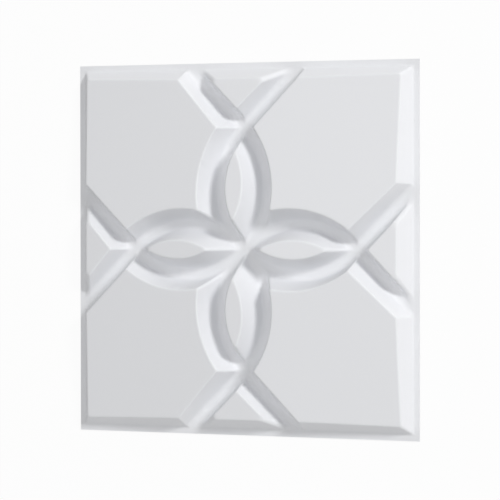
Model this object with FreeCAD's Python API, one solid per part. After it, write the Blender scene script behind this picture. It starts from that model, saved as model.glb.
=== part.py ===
import FreeCAD, Part
import math
import os

# Relief wall tile pressed from one thin plastic sheet, lying face up with its open back on z = 0.
# Round-bottomed grooves part the relief into twelve islands: four petals that meet at the tile's
# centre, four corner fields and four edge triangles. The back is hollow under every island, one
# sheet inside the face, and follows the round roots with a flat.

# Driving dimensions, in millimetres and degrees
petal_length = 98.0       # tile centre to the tip of a petal
tip_margin = 52.0         # petal tip to the tile edge
rim_width = 3.9           # flat border outside the relief
sheet = 1.0               # thickness of the sheet
groove_floor = 3.2        # flat bottom of a groove
groove_root = 5.2         # radius between a groove's floor and its walls
groove_draft = 16.0       # lean of a groove's walls from the vertical
edge_root = 2.5           # radius between the rim and the outer walls
edge_draft = 27.5         # lean of the outer walls from the vertical
peak_height = 28.3        # where the sloping tops would meet, above the rim
top_fall = 5.25           # slope of the tops, down from the tile centre
crest_break = 0.9         # chamfer round every top
inner_break = 0.5         # chamfer inside it, under the sheet
root_dip = 0.05           # depth of a root's arc below the floor that it runs into

# Values that follow from them
half_side = petal_length + tip_margin
relief_half = half_side - rim_width
petal_half = petal_length / 2
arc_radius = math.hypot(petal_half, petal_half)
tail_distance = petal_length / math.sqrt(2)
peak_level = sheet + peak_height
reach = 2 * half_side

# Root radius, lean and half floor of each kind of wall
groove_wall = (groove_root, groove_draft, groove_floor / 2)
edge_wall = (edge_root, edge_draft, 0)

# Directions and turns
origin = FreeCAD.Vector(0, 0, 0)
along_y = FreeCAD.Vector(0, 1, 0)
upward = FreeCAD.Vector(0, 0, 1)
inward = -1
outward = 1
eighth_turn = 45
quarter_turn = 90
half_turn = 180
full_turn = 360


# Upright face, in the xz plane, of the ground behind a wall. The wall's root starts near x = base and
# the ground runs inward or outward from there over the span. A skin of 0 gives the face of the sheet,
# and a skin as thick as the sheet gives its back.
def wall_section(wall, base, way, span, skin):
    root, draft, half_floor = wall
    lean = math.radians(draft)
    plumb = math.pi / 2
    radius = root + skin
    centre_level = sheet + root - root_dip
    centre_run = half_floor - math.sqrt(root_dip * (2 * root - root_dip))

    def point(run, level):
        return FreeCAD.Vector(base + way * run, 0, level)

    # Point seen from the root's centre, at an angle below the horizon
    def around(angle, distance):
        return point(centre_run + distance * math.cos(angle), centre_level - distance * math.sin(angle))

    halfway = (lean + plumb) / 2
    if skin:
        corner = radius / math.cos((halfway - lean) / 2)
        foot = around((halfway + plumb) / 2, corner)
        bend = around((halfway + lean) / 2, corner)
        bottom = Part.LineSegment(foot, bend)
    else:
        foot = around(plumb, radius)
        bend = around(lean, radius)
        bottom = Part.Arc(foot, around(halfway, radius), bend)
    head_shift = (peak_level - bend.z) * math.tan(lean)
    head = FreeCAD.Vector(bend.x + way * head_shift, 0, peak_level)
    under_foot = FreeCAD.Vector(foot.x, 0, -skin)
    corners = [bend, head, point(span, peak_level), point(span, -skin), under_foot, foot]
    return Part.Face(Part.Wire([bottom.toShape()] + Part.makePolygon(corners).Edges))


# Ground inside or outside a groove's arc about (x, y), with its seam turned away from the tile's centre
def round_wall(x, y, way, skin):
    span = arc_radius if way == inward else reach
    ring = wall_section(groove_wall, arc_radius, way, span, skin).revolve(origin, upward, full_turn)
    ring.rotate(origin, upward, half_turn)
    ring.translate(FreeCAD.Vector(x, y, 0))
    return ring


# Ground behind a straight wall that crosses the turned x axis at a distance from the tile's centre
def straight_wall(wall, distance, way, span, turn, skin):
    section = wall_section(wall, distance, way, span, skin)
    section.translate(along_y * -reach)
    block = section.extrude(along_y * 2 * reach)
    block.rotate(origin, upward, turn)
    return block


# Ground between the tile's middle and an outer wall
def outer_wall(turn, skin):
    return straight_wall(edge_wall, relief_half, inward, relief_half, turn, skin)


# Ground on one side of a groove's straight tail
def tail_wall(way, turn, skin):
    return straight_wall(groove_wall, tail_distance, way, reach, turn, skin)


# Everything above a sloping top, which falls outward along the turned x axis
def above_top(turn, skin):
    block = Part.makeBox(2 * reach, 2 * reach, reach, FreeCAD.Vector(-reach, -reach, 0))
    block.rotate(origin, along_y, top_fall)
    block.rotate(origin, upward, turn)
    block.translate(upward * (peak_level - skin / math.cos(math.radians(top_fall))))
    return block


# What several walls leave standing under a sloping top
def island(walls, turn, skin):
    body = walls[0]
    for wall in walls[1:]:
        body = body.common(wall)
    return body.cut(above_top(turn, skin))


# Corner field where x and y are positive
def corner_field(skin):
    walls = [
        outer_wall(0, skin),
        outer_wall(quarter_turn, skin),
        tail_wall(inward, -eighth_turn, skin),
        tail_wall(inward, quarter_turn + eighth_turn, skin),
        round_wall(petal_half, -petal_half, outward, skin),
        round_wall(-petal_half, petal_half, outward, skin),
    ]
    return island(walls, eighth_turn, skin)


# Edge triangle on the x axis, with its point towards the petal
def edge_triangle(skin):
    walls = [
        outer_wall(0, skin),
        tail_wall(outward, eighth_turn, skin),
        tail_wall(outward, -eighth_turn, skin),
    ]
    return island(walls, 0, skin)


# Petal on the x axis
def petal(skin):
    walls = [
        round_wall(petal_half, -petal_half, inward, skin),
        round_wall(petal_half, petal_half, inward, skin),
    ]
    return island(walls, 0, skin)


# The island with the edges round its top broken
def with_broken_crest(body, size):
    top = max(body.Faces, key=lambda face: face.CenterOfMass.z)
    return body.makeChamfer(size, top.Edges)


# The island and its three copies, a quarter turn apart
def all_round(body):
    turned = []
    for turn in range(0, full_turn, quarter_turn):
        copy = body.copy()
        copy.rotate(origin, upward, turn)
        turned.append(copy)
    return turned


face_islands = []
back_hollows = []
for make in (corner_field, edge_triangle, petal):
    face_islands += all_round(with_broken_crest(make(0), crest_break))
    back_hollows += all_round(with_broken_crest(make(sheet), inner_break))

plate = Part.makeBox(2 * half_side, 2 * half_side, sheet, FreeCAD.Vector(-half_side, -half_side, 0))
relief = plate.fuse(face_islands).removeSplitter()
tile = relief.cut(back_hollows)

os.makedirs("parts", exist_ok=True)
tile.Solids[0].exportStep("parts/wall_panel_tile.step")
print("wall_panel_tile:", len(tile.Solids), "solid, valid", tile.isValid(), "volume", round(tile.Volume))
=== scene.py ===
import math
import bpy
import bmesh
from mathutils import Matrix, Vector


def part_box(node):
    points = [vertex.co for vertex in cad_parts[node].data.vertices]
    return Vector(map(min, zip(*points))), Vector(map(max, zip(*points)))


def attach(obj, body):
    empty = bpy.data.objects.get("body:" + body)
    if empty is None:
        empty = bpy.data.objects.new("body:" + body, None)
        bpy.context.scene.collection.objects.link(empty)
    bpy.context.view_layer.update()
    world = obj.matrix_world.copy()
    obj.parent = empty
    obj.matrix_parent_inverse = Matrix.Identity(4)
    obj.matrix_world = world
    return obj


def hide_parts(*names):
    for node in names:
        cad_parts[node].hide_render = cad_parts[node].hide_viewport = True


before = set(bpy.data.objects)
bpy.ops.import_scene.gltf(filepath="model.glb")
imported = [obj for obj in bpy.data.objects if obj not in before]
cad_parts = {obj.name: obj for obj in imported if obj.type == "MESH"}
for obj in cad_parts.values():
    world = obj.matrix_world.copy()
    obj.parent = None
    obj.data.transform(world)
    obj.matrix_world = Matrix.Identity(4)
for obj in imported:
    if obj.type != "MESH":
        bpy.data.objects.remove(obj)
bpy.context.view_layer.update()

scene = bpy.context.scene
tileNode = "wall_panel_tile"
tileLow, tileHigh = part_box(tileNode)
print("frame loaded, tile box", [round(v, 4) for v in (*tileLow, *tileHigh)])


class Strand:  # one socket of a node tree, so that shader maths reads as plain expressions
    def __init__(self, tree, socket=None):
        self.tree = tree
        self.socket = socket

    def node(self, kind, settings=None, inputs=None, output=0):
        made = self.tree.nodes.new(kind)
        for name, value in (settings or {}).items():
            setattr(made, name, value)
        for key, value in (inputs or {}).items():
            if isinstance(value, Strand):
                self.tree.links.new(value.socket, made.inputs[key])
            else:
                made.inputs[key].default_value = value
        return Strand(self.tree, made.outputs[output] if made.outputs else None)

    def mathNode(self, operation, first, second):
        return self.node("ShaderNodeMath", {"operation": operation}, {0: first, 1: second})

    def __add__(self, other):
        return self.mathNode("ADD", self, other)

    def __radd__(self, other):
        return self.mathNode("ADD", other, self)

    def __sub__(self, other):
        return self.mathNode("SUBTRACT", self, other)

    def __rsub__(self, other):
        return self.mathNode("SUBTRACT", other, self)

    def __mul__(self, other):
        return self.mathNode("MULTIPLY", self, other)

    def __rmul__(self, other):
        return self.mathNode("MULTIPLY", other, self)


def newMaterial(name):
    material = bpy.data.materials.new(name)
    material.use_nodes = True
    material.node_tree.nodes.clear()
    return material, Strand(material.node_tree)


# white sheet plastic, matt with a slight sheen
pvc = {
    "tone": (0.882, 0.890, 0.912, 1.0),
    "toneFaint": (0.872, 0.880, 0.902, 1.0),    # slight unevenness of the sheet
    "cloud": {"scale": 14.0, "detail": 3.0, "middle": 0.5},
    "roughness": 0.66,
    "roughnessSwing": 0.10,
    "ior": 1.45,
    "specular": 0.3,
    # fine orange peel from the mould
    "grain": {"scale": 1500.0, "detail": 2.0, "strength": 0.05, "depth": 0.00006},
    # the tops are not quite flat
    "wave": {"scale": 22.0, "detail": 1.0, "strength": 0.05, "depth": 0.0006},
}


def noise(start, place, kind):
    return start.node("ShaderNodeTexNoise", {"noise_dimensions": "3D"},
                      {"Vector": place, "Scale": kind["scale"], "Detail": kind["detail"]})


def bumpSockets(kind, height):
    return {"Strength": kind["strength"], "Distance": kind["depth"], "Height": height}


def makePvc():
    material, start = newMaterial("whitePvc")
    place = start.node("ShaderNodeTexCoord", output="Object")
    cloud, grain, wave = (noise(start, place, pvc[key]) for key in ("cloud", "grain", "wave"))
    tone = start.node("ShaderNodeMix", {"data_type": "RGBA"},     # 6 and 7 are its colours, 2 their mix
                      {"Factor": cloud, 6: pvc["tone"], 7: pvc["toneFaint"]}, output=2)
    roughness = pvc["roughness"] + (cloud - pvc["cloud"]["middle"]) * pvc["roughnessSwing"]
    waved = start.node("ShaderNodeBump", None, bumpSockets(pvc["wave"], wave))
    grained = start.node("ShaderNodeBump", None, {**bumpSockets(pvc["grain"], grain), "Normal": waved})
    shader = start.node("ShaderNodeBsdfPrincipled", None, {
        "Base Color": tone, "Roughness": roughness, "Normal": grained,
        "IOR": pvc["ior"], "Specular IOR Level": pvc["specular"]})
    start.node("ShaderNodeOutputMaterial", None, {"Surface": shader})
    return material


# the pressed sheet, in metres and degrees: the CAD part's relief with its crests and ridges rounded
sheetSet = {
    "halfSide": round(tileHigh.x, 6),    # from the frame
    "rim": 0.0039,                       # flat border outside the relief
    "petalLength": 0.098,                # from the tile's centre to a petal's tip
    "thickness": 0.001,
    "peak": 0.0293,                      # where the sloping tops would meet, above the back
    "fall": 5.25,                        # slope of the tops, outward
    "groove": {"floor": 0.0008, "root": 0.0046, "draft": 20.0},     # floor from the groove's middle
    "edge": {"floor": 0.0, "root": 0.0025, "spread": 0.0072, "height": 0.0135},     # spread at that height
    "crest": 0.0018,                     # rounding along the tops
    "ridge": 0.0018,                     # rounding between two walls
    "point": 0.0026,                     # rounding of the triangles' sharp ends
    "leastRound": 0.0004,                # of the sheet's back
    "rootAngles": (90, 80, 70, 60, 50, 40, 30, 20),     # of a root's rings, below the horizon
    "wallShares": (0.08, 0.36, 0.64, 0.92),             # of the way up a wall
    "crestAngles": (70, 62.5, 50, 38, 26, 14, 0),       # of a crest's rings, from the upright
    "footBorder": 0.0003,                # flat strip kept beside each foot
    "topBorder": 0.0010,                 # and inside each crest
    "straightShares": (0, 0.02, 0.25, 0.5, 0.75, 0.98, 1),      # along a straight wall
    "roundSteps": 36,                    # along a round wall
    "cornerSteps": 6,                    # round a corner
    "tries": {"meeting": 10, "corner": 5, "place": 4},  # rounds of each search for a spot
}
within, beyond = -1, 1                   # the side of a base line or circle where an island stands


class StraightWall:  # over a base line, square to a direction from the tile's centre
    def __init__(self, kind, turn, distance, way):
        self.kind = sheetSet[kind]
        self.inward = Vector((math.cos(math.radians(turn)), math.sin(math.radians(turn)))) * way
        self.base = distance * way
        self.shares = sheetSet["straightShares"]

    def depth(self, spot):  # how far a spot lies inside the base
        return spot.dot(self.inward) - self.base

    def normal(self, spot):
        return self.inward

    def between(self, first, last, share):
        return first.lerp(last, share)


class RoundWall:  # over a base circle
    def __init__(self, kind, centre, radius, way):
        self.kind = sheetSet[kind]
        self.centre = Vector(centre)
        self.radius = radius
        self.way = way
        steps = sheetSet["roundSteps"]
        self.shares = [step / steps for step in range(steps + 1)]

    def depth(self, spot):
        return ((spot - self.centre).length - self.radius) * self.way

    def normal(self, spot):
        return (spot - self.centre).normalized() * self.way

    def between(self, first, last, share):
        start, end = first - self.centre, last - self.centre
        spoke = Matrix.Rotation(turnBetween(start, end) * share, 2) @ start.normalized()
        return self.centre + spoke * (start.length + (end.length - start.length) * share)


def turnBetween(start, end):  # counter-clockwise, the short way round
    return math.atan2(start.x * end.y - start.y * end.x, start.dot(end))


def leanOf(kind, top, skin):  # from the upright; an outer wall leans more where its top is lower
    if "spread" in kind:
        height = top + skin - sheetSet["thickness"]
        return math.atan2(kind["spread"], (height + kind["height"]) / 2)
    return math.radians(kind["draft"])


def runAt(kind, level, skin, lean):  # how far in from its base a wall stands at a level
    radius = kind["root"] + skin
    drop = sheetSet["thickness"] + kind["root"] - level
    if drop > radius * math.sin(lean):
        return kind["floor"] + math.sqrt(max(radius ** 2 - drop ** 2, 0))
    return kind["floor"] + radius * math.cos(lean) + (radius * math.sin(lean) - drop) * math.tan(lean)


def rings():  # every ring round an island, from the floor to the top
    listed = [("floor", sheetSet["footBorder"])]
    for stage, key in (("root", "rootAngles"), ("wall", "wallShares"), ("crest", "crestAngles")):
        listed += [(stage, value) for value in sheetSet[key]]
    return listed + [("top", sheetSet["topBorder"])]


def crossing(kind, ring, top, skin):  # where a ring cuts a wall's section: run and level
    stage, value = ring
    groove = sheetSet["groove"]
    floor = sheetSet["thickness"] - skin
    grooveRoot = groove["root"] + skin
    crest = max(sheetSet["crest"] - skin, sheetSet["leastRound"])
    lean = leanOf(kind, top, skin)
    if stage == "floor":
        return kind["floor"] - value, floor
    if stage == "root":
        level = floor + grooveRoot * (1 - math.sin(math.radians(value)))
        return runAt(kind, level, skin, lean), level
    if stage == "wall":
        sine = math.sin(math.radians(groove["draft"]))
        low = floor + grooveRoot * (1 - sine)
        level = low + (top - crest * (1 - sine) - low) * value
        return runAt(kind, level, skin, lean), level
    middle = runAt(kind, top - crest, skin, lean) + crest / math.cos(lean)
    if stage == "top":
        return middle + value, top
    level = top - crest * (1 - math.cos(math.radians(value)))
    if math.radians(90 - value) < lean:  # still on the wall, under the crest's round
        return runAt(kind, level, skin, lean), level
    return middle - crest * math.sin(math.radians(value)), level


def topAt(island, spot, skin):  # level of an island's sloping top
    fall = math.radians(sheetSet["fall"])
    turn = math.radians(island["turn"])
    outward = spot.x * math.cos(turn) + spot.y * math.sin(turn)
    return sheetSet["peak"] - skin / math.cos(fall) - outward * math.tan(fall)


def meeting(first, last, firstRun, lastRun, spot):  # the spot that lies so deep inside both walls
    for _ in range(sheetSet["tries"]["meeting"]):
        one, two = first.normal(spot), last.normal(spot)
        oneShort, twoShort = firstRun - first.depth(spot), lastRun - last.depth(spot)
        cross = one.x * two.y - one.y * two.x
        step = Vector((oneShort * two.y - twoShort * one.y, twoShort * one.x - oneShort * two.x))
        spot = spot + step / cross
    return spot


def ringCorners(island, ring, skin):  # centre and radius of a ring's round corners
    sides = island["sides"]
    corners = []
    for (wall, rounding, guess), (after, _, _) in zip(sides, sides[1:] + sides[:1]):
        radius = max(rounding - skin, sheetSet["leastRound"])
        spot = Vector(guess)
        for _ in range(sheetSet["tries"]["corner"]):
            top = topAt(island, spot, skin)
            firstRun, lastRun = (crossing(one.kind, ring, top, skin)[0] for one in (wall, after))
            spot = meeting(wall, after, firstRun + radius, lastRun + radius, spot)
        corners.append((spot, radius))
    return corners


def ringSpots(island, ring, skin):  # every spot of a ring: along each wall, then round the corner after it
    walls = [wall for wall, _, _ in island["sides"]]
    corners = ringCorners(island, ring, skin)
    steps = sheetSet["cornerSteps"]
    spots = []
    for index, wall in enumerate(walls):
        before, radiusBefore = corners[index - 1]
        spot, radius = corners[index]
        first = before - wall.normal(before) * radiusBefore
        last = spot - wall.normal(spot) * radius
        for share in wall.shares:
            place = wall.between(first, last, share)
            for _ in range(sheetSet["tries"]["place"]):
                run, level = crossing(wall.kind, ring, topAt(island, place, skin), skin)
                place = place + wall.normal(place) * (run - wall.depth(place))
            spots.append(place.to_3d() + Vector((0, 0, level)))
        after = walls[(index + 1) % len(walls)]
        start = -wall.normal(spot)
        turn = turnBetween(start, -after.normal(spot))
        for step in range(1, steps):
            place = spot + Matrix.Rotation(turn * step / steps, 2) @ start * radius
            level = crossing(wall.kind, ring, topAt(island, place, skin), skin)[1]
            spots.append(place.to_3d() + Vector((0, 0, level)))
    return spots


# each island: the turn from +x in which its top falls, and its walls counter-clockwise, each with the
# rounding of the corner after it and about where that corner is
def cornerField(outer, tail, centre, radius):
    ridge = sheetSet["ridge"]
    return {"turn": 45, "sides": [
        (RoundWall("groove", (centre, -centre), radius, beyond), ridge, (0.096, 0.012)),
        (StraightWall("groove", -45, tail, within), ridge, (0.138, 0.056)),
        (StraightWall("edge", 0, outer, within), ridge, (0.140, 0.140)),
        (StraightWall("edge", 90, outer, within), ridge, (0.056, 0.138)),
        (StraightWall("groove", 135, tail, within), ridge, (0.012, 0.096)),
        (RoundWall("groove", (-centre, centre), radius, beyond), ridge, (0.018, 0.018)),
    ]}


def edgeTriangle(outer, tail):
    ridge, point = sheetSet["ridge"], sheetSet["point"]
    return {"turn": 0, "sides": [
        (StraightWall("edge", 0, outer, within), point, (0.138, 0.030)),
        (StraightWall("groove", -45, tail, beyond), ridge, (0.110, 0.0)),
        (StraightWall("groove", 45, tail, beyond), point, (0.138, -0.030)),
    ]}


def petal(centre, radius):
    ridge = sheetSet["ridge"]
    return {"turn": 0, "sides": [
        (RoundWall("groove", (centre, centre), radius, within), ridge, (0.090, 0.0)),
        (RoundWall("groove", (centre, -centre), radius, within), ridge, (0.008, 0.0)),
    ]}


def loopEdges(mesh, verts):
    return [mesh.edges.get((vert, after)) for vert, after in zip(verts, verts[1:] + verts[:1])]


def linked(verts, key):  # the edges or faces at these verts, each once and in order
    return list(dict.fromkeys(piece for vert in verts for piece in getattr(vert, key)))


def moveTo(verts, spots):
    for vert, spot in zip(verts, spots):
        vert.co = spot


def raiseIsland(mesh, island, skin):  # one island, ring by ring, and its copies round the tile
    foot, *others = rings()
    spots = ringSpots(island, foot, skin)
    verts = bmesh.ops.create_circle(mesh, segments=len(spots), radius=sheetSet["petalLength"])["verts"]
    moveTo(verts, spots)
    made = list(verts)
    for ring in others:
        grown = bmesh.ops.extrude_edge_only(mesh, edges=loopEdges(mesh, verts))["geom"]
        fresh = {piece for piece in grown if isinstance(piece, bmesh.types.BMVert)}
        verts = [next(edge.other_vert(vert) for edge in vert.link_edges if edge.other_vert(vert) in fresh)
                 for vert in verts]
        moveTo(verts, ringSpots(island, ring, skin))
        made += verts
    bmesh.ops.contextual_create(mesh, geom=loopEdges(mesh, verts))
    whole = made + linked(made, "link_edges") + linked(made, "link_faces")
    copies = 3                           # a quarter turn apart
    bmesh.ops.spin(mesh, geom=whole, cent=(0, 0, 0), axis=(0, 0, 1),
                   angle=math.radians(90 * copies), steps=copies, use_duplicate=True)


def layFloor(mesh, level):  # the flat of the sheet round the islands, out to the tile's edge
    rims = [edge for edge in mesh.edges if edge.is_boundary]
    square = bmesh.ops.create_grid(mesh, x_segments=1, y_segments=1, size=sheetSet["halfSide"])["verts"]
    for vert in square:
        vert.co.z = level
    border = linked(square, "link_edges")
    bmesh.ops.delete(mesh, geom=square[0].link_faces[:], context="FACES_ONLY")
    bmesh.ops.triangle_fill(mesh, use_beauty=True, use_dissolve=False, edges=rims + border, normal=(0, 0, 1))


def pressSheet():
    half = sheetSet["petalLength"] / 2
    outer = sheetSet["halfSide"] - sheetSet["rim"]
    tail = sheetSet["petalLength"] / math.sqrt(2)
    islands = [cornerField(outer, tail, half, tail), edgeTriangle(outer, tail), petal(half, tail)]
    shell = bmesh.new()
    for skin in (0.0, sheetSet["thickness"]):  # the face, then the back
        side = bmesh.new()
        for island in islands:
            raiseIsland(side, island, skin)
        layFloor(side, sheetSet["thickness"] - skin)
        layer = bpy.data.meshes.new("layer")
        side.to_mesh(layer)
        side.free()
        shell.from_mesh(layer)
        bpy.data.meshes.remove(layer)
    borders = [edge for edge in shell.edges if edge.is_boundary]
    for edge in bmesh.ops.bridge_loops(shell, edges=borders)["edges"] + borders:
        edge.smooth = False              # the cut edge of the sheet stays sharp
    bmesh.ops.recalc_face_normals(shell, faces=shell.faces)
    for face in shell.faces:
        face.smooth = True
    mesh = bpy.data.meshes.new("pressedSheet")
    shell.to_mesh(mesh)
    shell.free()
    mesh.materials.append(makePvc())
    piece = bpy.data.objects.new("pressedSheet", mesh)
    scene.collection.objects.link(piece)
    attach(piece, "root")
    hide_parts(tileNode)
    print("sheet pressed,", len(mesh.polygons), "faces")


# pale floor under the tile, white to the camera but for the tile's shadow
floorSet = {
    "size": 6.0,
    "drop": 0.0004,              # just under the tile's back
    "tone": (0.92, 0.92, 0.92, 1.0),
    "white": (1.0, 1.0, 1.0, 1.0),
    "whiteStrength": 1.0,
    "whiteShare": 0.93,          # how much of the camera's view of it is plain white
}


def makeFloor():
    material, start = newMaterial("paleFloor")
    camera = start.node("ShaderNodeLightPath", output="Is Camera Ray")
    glossy = start.node("ShaderNodeLightPath", output="Is Glossy Ray")
    clear = start.node("ShaderNodeLightPath", output="Is Transmission Ray")
    seen = start.mathNode("MAXIMUM", start.mathNode("MAXIMUM", camera, glossy), clear)
    matt = start.node("ShaderNodeBsdfDiffuse", None, {"Color": floorSet["tone"]})
    white = start.node("ShaderNodeEmission", None,
                       {"Color": floorSet["white"], "Strength": floorSet["whiteStrength"]})
    shader = start.node("ShaderNodeMixShader", None,
                        {"Fac": seen * floorSet["whiteShare"], 1: matt, 2: white})
    start.node("ShaderNodeOutputMaterial", None, {"Surface": shader})
    ground = bmesh.new()
    bmesh.ops.create_grid(ground, x_segments=1, y_segments=1, size=floorSet["size"] / 2)
    bmesh.ops.translate(ground, verts=ground.verts, vec=(0, 0, tileLow.z - floorSet["drop"]))
    mesh = bpy.data.meshes.new("floor")
    ground.to_mesh(mesh)
    ground.free()
    mesh.materials.append(material)
    floor = bpy.data.objects.new("floor", mesh)
    scene.collection.objects.link(floor)
    print("floor laid")


# soft lamps in an even room: turn from +x and rise in degrees, distance and width in metres, power in watts
lamps = {
    "keyLamp": {"turn": 27.8, "rise": 32.2, "distance": 4.0, "width": 0.84, "power": 78.5},
    "overheadLamp": {"turn": 0.0, "rise": 90.0, "distance": 2.0, "width": 1.6, "power": 8.0},
    "backLamp": {"turn": 90.0, "rise": 15.0, "distance": 2.5, "width": 1.2, "power": 4.2},
    "frontLamp": {"turn": -90.0, "rise": 15.0, "distance": 2.5, "width": 1.2, "power": 5.0},
}
room = {
    "tone": (1.0, 1.0, 1.0, 1.0),
    "strength": 0.323,
}


def placeLamp(name, lamp):
    turn, rise = math.radians(lamp["turn"]), math.radians(lamp["rise"])
    way = Vector((math.cos(turn) * math.cos(rise), math.sin(turn) * math.cos(rise), math.sin(rise)))
    source = bpy.data.lights.new(name, "AREA")
    source.shape = "DISK"
    source.size = lamp["width"]
    source.energy = lamp["power"]
    holder = bpy.data.objects.new(name, source)
    holder.location = way * lamp["distance"]
    holder.rotation_euler = way.to_track_quat("Z", "Y").to_euler()
    scene.collection.objects.link(holder)


def lightScene():
    for name, lamp in lamps.items():
        placeLamp(name, lamp)
    world = bpy.data.worlds.new("studio")
    world.use_nodes = True
    sky = world.node_tree.nodes["Background"]
    sky.inputs["Color"].default_value = room["tone"]
    sky.inputs["Strength"].default_value = room["strength"]
    scene.world = world
    print("lamps placed")


# camera fitted to the four corners of the tile, in metres, degrees and, for the lens, millimetres
view = {
    "lens": 208.911,
    "sensor": 36.0,
    "farClip": 50.0,
    "yaw": 24.5948,              # to the right of straight down
    "pitch": 0.9445,
    "roll": -0.0676,
    "distance": 2.33518,         # from the rim's upper face at the tile's centre
    "aside": -0.003585,          # tile centre from the picture's centre, right and up
    "above": 0.000618,
}


def placeCamera():
    yaw, pitch, roll = (math.radians(view[key]) for key in ("yaw", "pitch", "roll"))
    back = Vector((math.sin(yaw) * math.cos(pitch), math.sin(pitch), math.cos(yaw) * math.cos(pitch)))
    right = Vector((0, 1, 0)).cross(back).normalized()
    up = back.cross(right)
    turned = right * math.cos(roll) + up * math.sin(roll)
    upright = up * math.cos(roll) - right * math.sin(roll)
    spot = back * view["distance"] - turned * view["aside"] - upright * view["above"]
    spot.z += sheetSet["thickness"]
    camera = bpy.data.cameras.new("photoView")
    camera.sensor_width = view["sensor"]
    camera.lens = view["lens"]
    camera.clip_end = view["farClip"]
    holder = bpy.data.objects.new("photoView", camera)
    turn = Matrix((turned, upright, back)).transposed().to_4x4()
    holder.matrix_world = Matrix.Translation(spot) @ turn
    scene.collection.objects.link(holder)
    scene.camera = holder
    print("camera placed")


pressSheet()
makeFloor()
lightScene()
placeCamera()
scene.view_settings.view_transform = "Standard"
